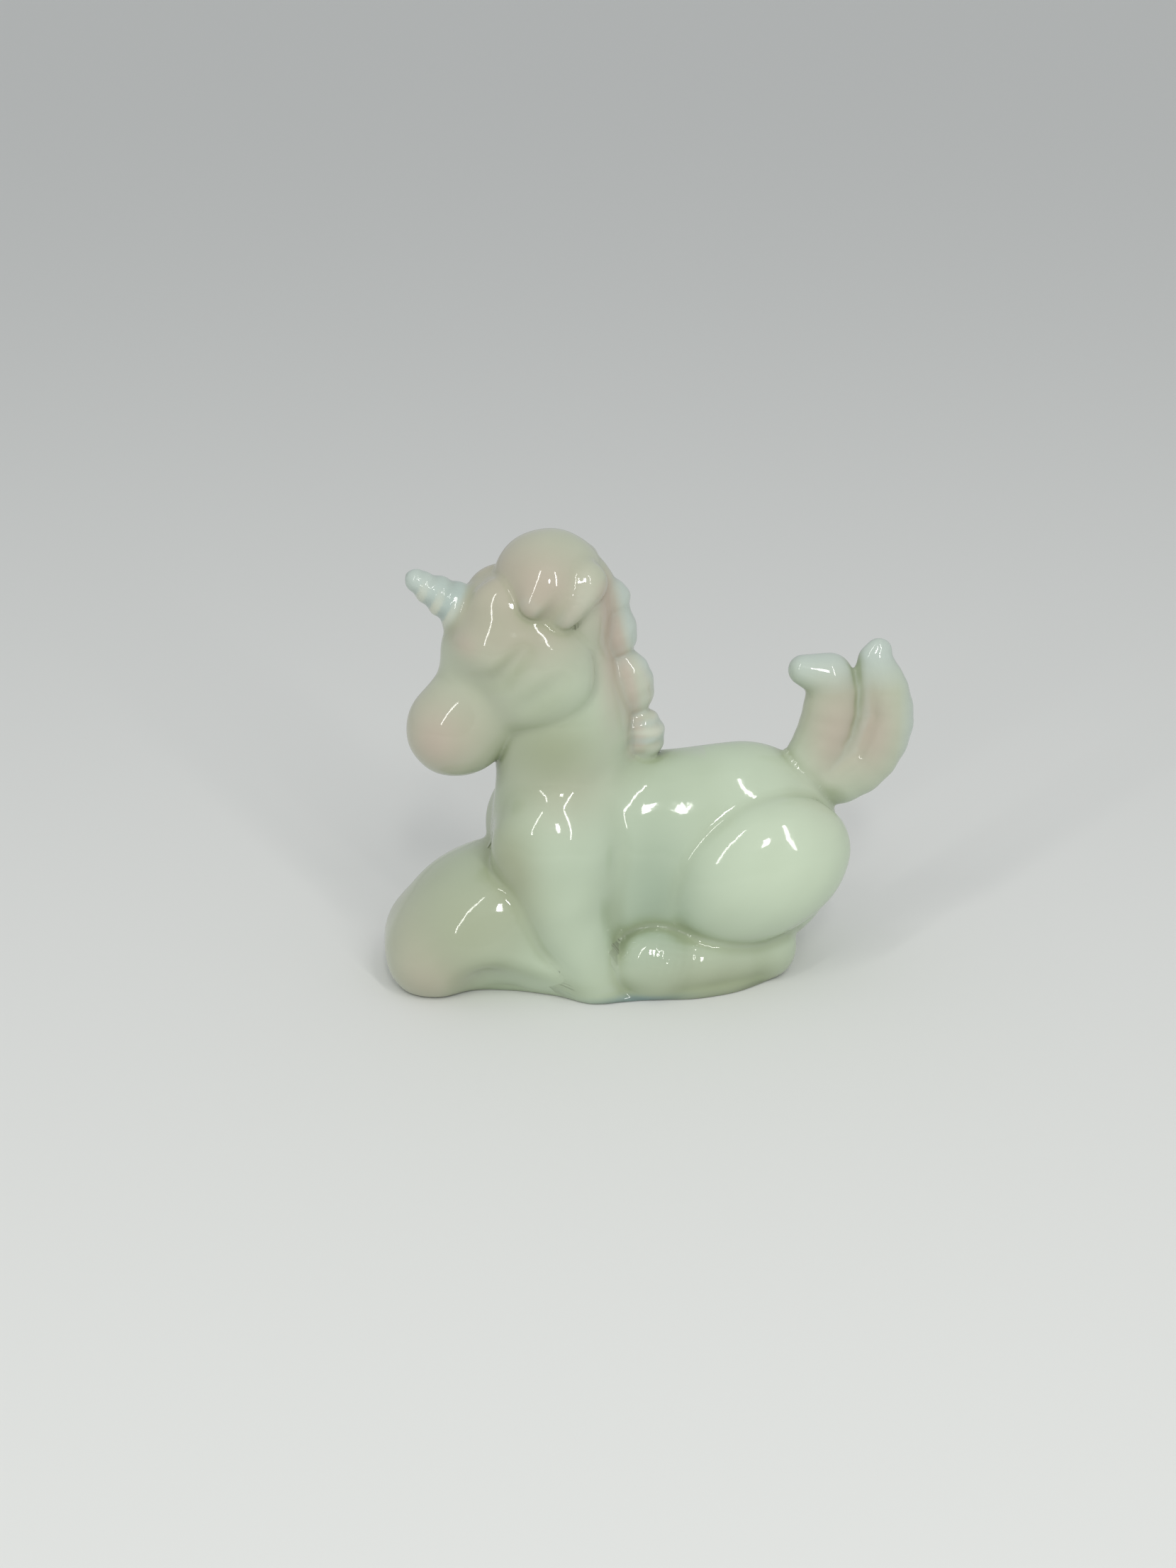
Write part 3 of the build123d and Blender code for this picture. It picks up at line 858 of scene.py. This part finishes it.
class FoalGlass(bpy.types.PropertyGroup):
    """Colours, mesh and finish of the glass skin."""

    green: tint_setting("Green", "Body of the glass", (0.49, 0.58, 0.44))
    beige: tint_setting("Beige", "Head, knees and tail", (0.44, 0.43, 0.33))
    pink: tint_setting("Pink", "Blush of the muzzle, forelock, mane and tail", (0.49, 0.405, 0.335))
    # On thin edges, opal is painted glow of light through the glass
    opal: tint_setting("Opal", "Thin edges and tips", (0.49, 0.56, 0.51))
    cream: tint_setting("Cream", "Ears and the ridges of the horn", (0.60, 0.62, 0.51))
    # Olive is painted shade in the creases; it also darkens the front of the neck
    olive: tint_setting("Olive", "Creases, where the glass looks deepest", (0.26, 0.31, 0.17))
    # Moss is painted shade on the neck, chest and legs
    moss: tint_setting("Moss", "Neck, chest and legs", (0.37, 0.41, 0.28))
    # Fern is painted shade in the hollow of the flank
    fern: tint_setting("Fern", "Hollow of the flank", (0.35, 0.44, 0.33))
    pearl: tint_setting("Pearl", "Sides of the mane", (0.52, 0.52, 0.43))
    teal: tint_setting("Teal", "Root and grooves of the horn", (0.42, 0.50, 0.46))
    # This tone is painted light on the haunches
    milk: tint_setting("Milk", "Haunches", (0.60, 0.70, 0.53))
    shade: tint_setting("Shade", "Lower edge under the flank", (0.16, 0.26, 0.30))
    step: number_setting("Mesh Step", "Cell of the surface mesh", 0.34 * MM, min=0.2 * MM, unit="LENGTH")
    wave: number_setting("Waviness", "Height of the pressed surface's waves", 0.10 * MM, unit="LENGTH")
    roughness: number_setting(
        "Roughness", "Roughness of the polish", 0.07, subtype="FACTOR", min=0.0, max=1.0
    )


class FoalStudio(bpy.types.PropertyGroup):
    """Camera and lights."""

    azimuth: number_setting("Azimuth", "Camera's turn about Z", radians(-6.0), subtype="ANGLE")
    elevation: number_setting("Elevation", "Camera's height over the floor", radians(22.0), subtype="ANGLE")
    distance: number_setting("Distance", "Camera to the point it looks at", 0.313, unit="LENGTH")
    strip_power: number_setting("Strip Power", "Power of each narrow light", 0.65, unit="POWER")
    window_power: number_setting("Window Power", "Power of the small light by the camera", 0.45, unit="POWER")
    fill_power: number_setting("Fill Power", "Power of the wide light overhead", 0.2, unit="POWER")
    sky: number_setting("Sky", "Strength of the light from all round", 0.575, min=0.0)


# Building steps


class FOAL_OT_body(bpy.types.Operator):
    """Adds the trunk, neck, shoulders and haunches"""

    bl_idname = "foal.body"
    bl_label = "Body"

    def execute(self, context):
        build(context.scene.foal_glass, "green_glass", ["trunk", "neck", *both_sides("shoulder", "haunch")])
        return {"FINISHED"}


class FOAL_OT_legs(bpy.types.Operator):
    """Adds the folded legs and the hind hooves"""

    bl_idname = "foal.legs"
    bl_label = "Legs"

    def execute(self, context):
        build(context.scene.foal_glass, "green_glass", both_sides("foreleg", "hind_leg", "hind_hoof"))
        return {"FINISHED"}


class FOAL_OT_head(bpy.types.Operator):
    """Adds the head with its cheeks, eyelids, forelock and ears"""

    bl_idname = "foal.head"
    bl_label = "Head"

    def execute(self, context):
        settings = context.scene.foal_glass
        build(settings, "green_glass", both_sides("cheek"))
        build(settings, "blush_glass", ["head", *both_sides("eyelid"), "forelock", *both_sides("ear")])
        return {"FINISHED"}


class FOAL_OT_horn(bpy.types.Operator):
    """Adds the twisted horn"""

    bl_idname = "foal.horn"
    bl_label = "Horn"

    def execute(self, context):
        build(context.scene.foal_glass, "opal_glass", ["horn"])
        return {"FINISHED"}


class FOAL_OT_mane(bpy.types.Operator):
    """Adds the locks of the mane"""

    bl_idname = "foal.mane"
    bl_label = "Mane"

    def execute(self, context):
        names = [f"mane_lock_{number}" for number, _ in enumerate(MANE, start=1)]
        build(context.scene.foal_glass, "opal_glass", names)
        return {"FINISHED"}


class FOAL_OT_tail(bpy.types.Operator):
    """Adds the two locks of the tail and its curl"""

    bl_idname = "foal.tail"
    bl_label = "Tail"

    def execute(self, context):
        build(context.scene.foal_glass, "blush_glass", ["tail_front_lock", "tail_rear_lock"])
        build(context.scene.foal_glass, "opal_glass", ["tail_curl"])
        return {"FINISHED"}


# Studio, in metres and degrees, with the camera's lens and sensor in millimetres

FLOOR_REACH = 8.0
FLOOR_COLOUR = (0.76, 0.77, 0.75, 1.0)
FLOOR_ROUGHNESS, FLOOR_SPECULAR = 0.9, 0.1
SKY_COLOUR = (0.96, 0.98, 1.0, 1.0)
LIGHT_AIM = Vector((-0.005, 0.0, 0.03))
Strip = collections.namedtuple("Strip", "name azimuth elevation power_share")
STRIPS = (Strip("strip_left", -42.0, 38.0, 0.9), Strip("strip_right", 22.0, 38.0, 1.2))
STRIP_DISTANCE, STRIP_SIZE, STRIP_COLOUR = 0.6, (0.026, 0.46), (1.0, 0.99, 0.96)
WINDOW_OFFSET, WINDOW_SIZE, WINDOW_COLOUR = Vector((-0.02, -0.48, 0.36)), (0.045, 0.10), (1.0, 1.0, 0.98)
FILL_OFFSET, FILL_SIZE, FILL_COLOUR = Vector((0.0, -0.45, 0.60)), (0.6, 0.6), (1.0, 0.99, 0.97)
CAMERA_AIM = Vector((-0.0088, 0.0, 0.0287))
CAMERA_LENS, CAMERA_SENSOR = 50.0, 36.0
CAMERA_CLIP_START = 0.01


def direction(azimuth, elevation):
    """Unit vector towards a place round the figure, from -Y about Z and up from the floor, in radians."""
    return Vector((sin(azimuth) * cos(elevation), -cos(azimuth) * cos(elevation), sin(elevation)))


def add_floor(scene):
    """A wide square at Z = 0 in a pale matt finish."""
    mesh = bpy.data.meshes.new("floor")
    corners = [(x * FLOOR_REACH, y * FLOOR_REACH, 0.0) for x, y in ((-1, -1), (1, -1), (1, 1), (-1, 1))]
    mesh.from_pydata(corners, [], [(0, 1, 2, 3)])
    floor = bpy.data.objects.new("floor", mesh)
    scene.collection.objects.link(floor)
    finish = bpy.data.materials.new("pale_floor")
    finish.use_nodes = True
    shader = finish.node_tree.nodes["Principled BSDF"]
    shader.inputs["Base Color"].default_value = FLOOR_COLOUR
    shader.inputs["Roughness"].default_value = FLOOR_ROUGHNESS
    shader.inputs["Specular IOR Level"].default_value = FLOOR_SPECULAR
    mesh.materials.append(finish)


def add_sky(scene, strength):
    """Even light from all round."""
    world = bpy.data.worlds.new("sky")
    world.use_nodes = True
    background = world.node_tree.nodes["Background"]
    background.inputs["Color"].default_value = SKY_COLOUR
    background.inputs["Strength"].default_value = strength
    scene.world = world


def add_light(scene, name, offset, size, power, colour):
    """A rectangular light at an offset from the point that all lights face."""
    data = bpy.data.lights.new(name, "AREA")
    data.shape = "RECTANGLE"
    data.size, data.size_y = size
    data.energy = power
    data.color = colour
    lamp = bpy.data.objects.new(name, data)
    scene.collection.objects.link(lamp)
    turn = (-offset).to_track_quat("-Z", "Y").to_matrix().to_4x4()
    lamp.matrix_world = Matrix.Translation(LIGHT_AIM + offset) @ turn


def add_camera(scene, settings):
    """A camera on the ray from its aim in the set direction, at the set distance."""
    data = bpy.data.cameras.new("camera")
    data.lens, data.sensor_width = CAMERA_LENS, CAMERA_SENSOR
    data.clip_start = CAMERA_CLIP_START
    camera = bpy.data.objects.new("camera", data)
    scene.collection.objects.link(camera)
    back = direction(settings.azimuth, settings.elevation)
    turn = back.to_track_quat("Z", "Y").to_matrix().to_4x4()
    camera.matrix_world = Matrix.Translation(CAMERA_AIM + back * settings.distance) @ turn
    scene.camera = camera


class FOAL_OT_studio(bpy.types.Operator):
    """Adds the floor, the lights and the camera"""

    bl_idname = "foal.studio"
    bl_label = "Studio"

    def execute(self, context):
        scene, settings = context.scene, context.scene.foal_studio
        add_floor(scene)
        add_sky(scene, settings.sky)
        for strip in STRIPS:
            offset = STRIP_DISTANCE * direction(radians(strip.azimuth), radians(strip.elevation))
            power = strip.power_share * settings.strip_power
            add_light(scene, strip.name, offset, STRIP_SIZE, power, STRIP_COLOUR)
        add_light(scene, "window", WINDOW_OFFSET, WINDOW_SIZE, settings.window_power, WINDOW_COLOUR)
        add_light(scene, "fill", FILL_OFFSET, FILL_SIZE, settings.fill_power, FILL_COLOUR)
        add_camera(scene, settings)
        scene.view_settings.view_transform = "Standard"
        return {"FINISHED"}


OPERATORS = (
    FOAL_OT_body,
    FOAL_OT_legs,
    FOAL_OT_head,
    FOAL_OT_horn,
    FOAL_OT_mane,
    FOAL_OT_tail,
    FOAL_OT_studio,
)


class FOAL_PT_panel(bpy.types.Panel):
    """The figure's settings and its building steps"""

    bl_idname = "FOAL_PT_panel"
    bl_label = "Pressed Glass Foal"
    bl_space_type = "VIEW_3D"
    bl_region_type = "UI"
    bl_category = "Foal"

    def draw(self, context):
        for settings in (context.scene.foal_glass, context.scene.foal_studio):
            box = self.layout.box()
            for name in settings.__annotations__:
                box.prop(settings, name)
        for operator in OPERATORS:
            self.layout.operator(operator.bl_idname)


CLASSES = (FoalGlass, FoalStudio, *OPERATORS, FOAL_PT_panel)


def register():
    """Adds the classes and hangs the settings on the scene."""
    for cls in CLASSES:
        bpy.utils.register_class(cls)
    bpy.types.Scene.foal_glass = bpy.props.PointerProperty(type=FoalGlass)
    bpy.types.Scene.foal_studio = bpy.props.PointerProperty(type=FoalStudio)


def unregister():
    """Takes the settings and the classes away again, in the opposite order."""
    del bpy.types.Scene.foal_studio
    del bpy.types.Scene.foal_glass
    for cls in reversed(CLASSES):
        bpy.utils.unregister_class(cls)


def main():
    """Builds every piece and the studio."""
    register()
    bpy.ops.foal.body()
    bpy.ops.foal.legs()
    bpy.ops.foal.head()
    bpy.ops.foal.horn()
    bpy.ops.foal.mane()
    bpy.ops.foal.tail()
    bpy.ops.foal.studio()


if __name__ == "__main__":
    main()
